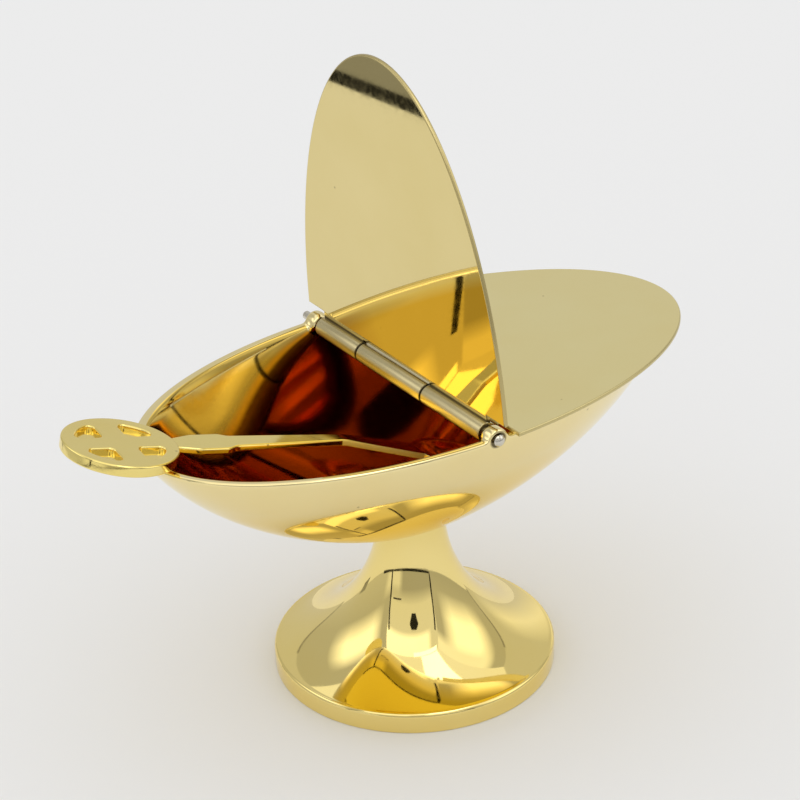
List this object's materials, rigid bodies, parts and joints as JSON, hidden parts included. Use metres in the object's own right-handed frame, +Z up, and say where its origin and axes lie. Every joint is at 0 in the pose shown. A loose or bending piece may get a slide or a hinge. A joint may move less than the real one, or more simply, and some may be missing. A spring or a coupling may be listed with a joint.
{
  "type": "incense boat",
  "caption": "Oval polished brass incense boat on a trumpet foot: a fixed plate covers half the bowl, a hinged lid the other half, and a loose spoon with a cross medallion lies in it.",
  "frame": {"origin": "on the table under the foot's centre", "axes": "+X along the boat to the fixed cover's tip, -X to the lid's tip, -Y the front that the picture shows, +Z up"},
  "size_m": [0.1534, 0.0776, 0.1476],
  "materials": {
    "boat_brass": "mirror polished and lacquered",
    "foot_brass": "mirror polished and lacquered",
    "plate_brass": "polished sheet",
    "hinge_brass": "drawn tube, polished",
    "spoon_brass": "cast, bright yellow, lightly polished",
    "pin_steel": "bright drawn wire",
    "fixing_steel": "plain turned steel"
  },
  "bodies": {
    "boat": {"bowl": "boat_brass", "bowl_stud": "boat_brass", "foot": "foot_brass", "foot_washer": "fixing_steel", "foot_nut": "fixing_steel", "fixed_cover": "plate_brass", "cover_knuckle": "hinge_brass", "hinge_pin": "pin_steel"},
    "lid": {"lid": "plate_brass", "lid_knuckle_back": "hinge_brass", "lid_knuckle_front": "hinge_brass"},
    "spoon": {"spoon_medallion": "spoon_brass", "spoon_handle": "spoon_brass", "spoon_bowl": "spoon_brass"}
  },
  "joints": [
    {"name": "lid_hinge", "type": "hinge", "parent": "boat", "child": "lid", "pos_m": [-0.0012, 0, 0.0727], "axis": [0, 1, 0], "range_deg": [-80, 40]},
    {"name": "spoon_draw", "type": "slide", "parent": "boat", "child": "spoon", "axis": [-0.9647, 0.0912, 0.247], "range_m": [0, 0.045]}
  ]
}
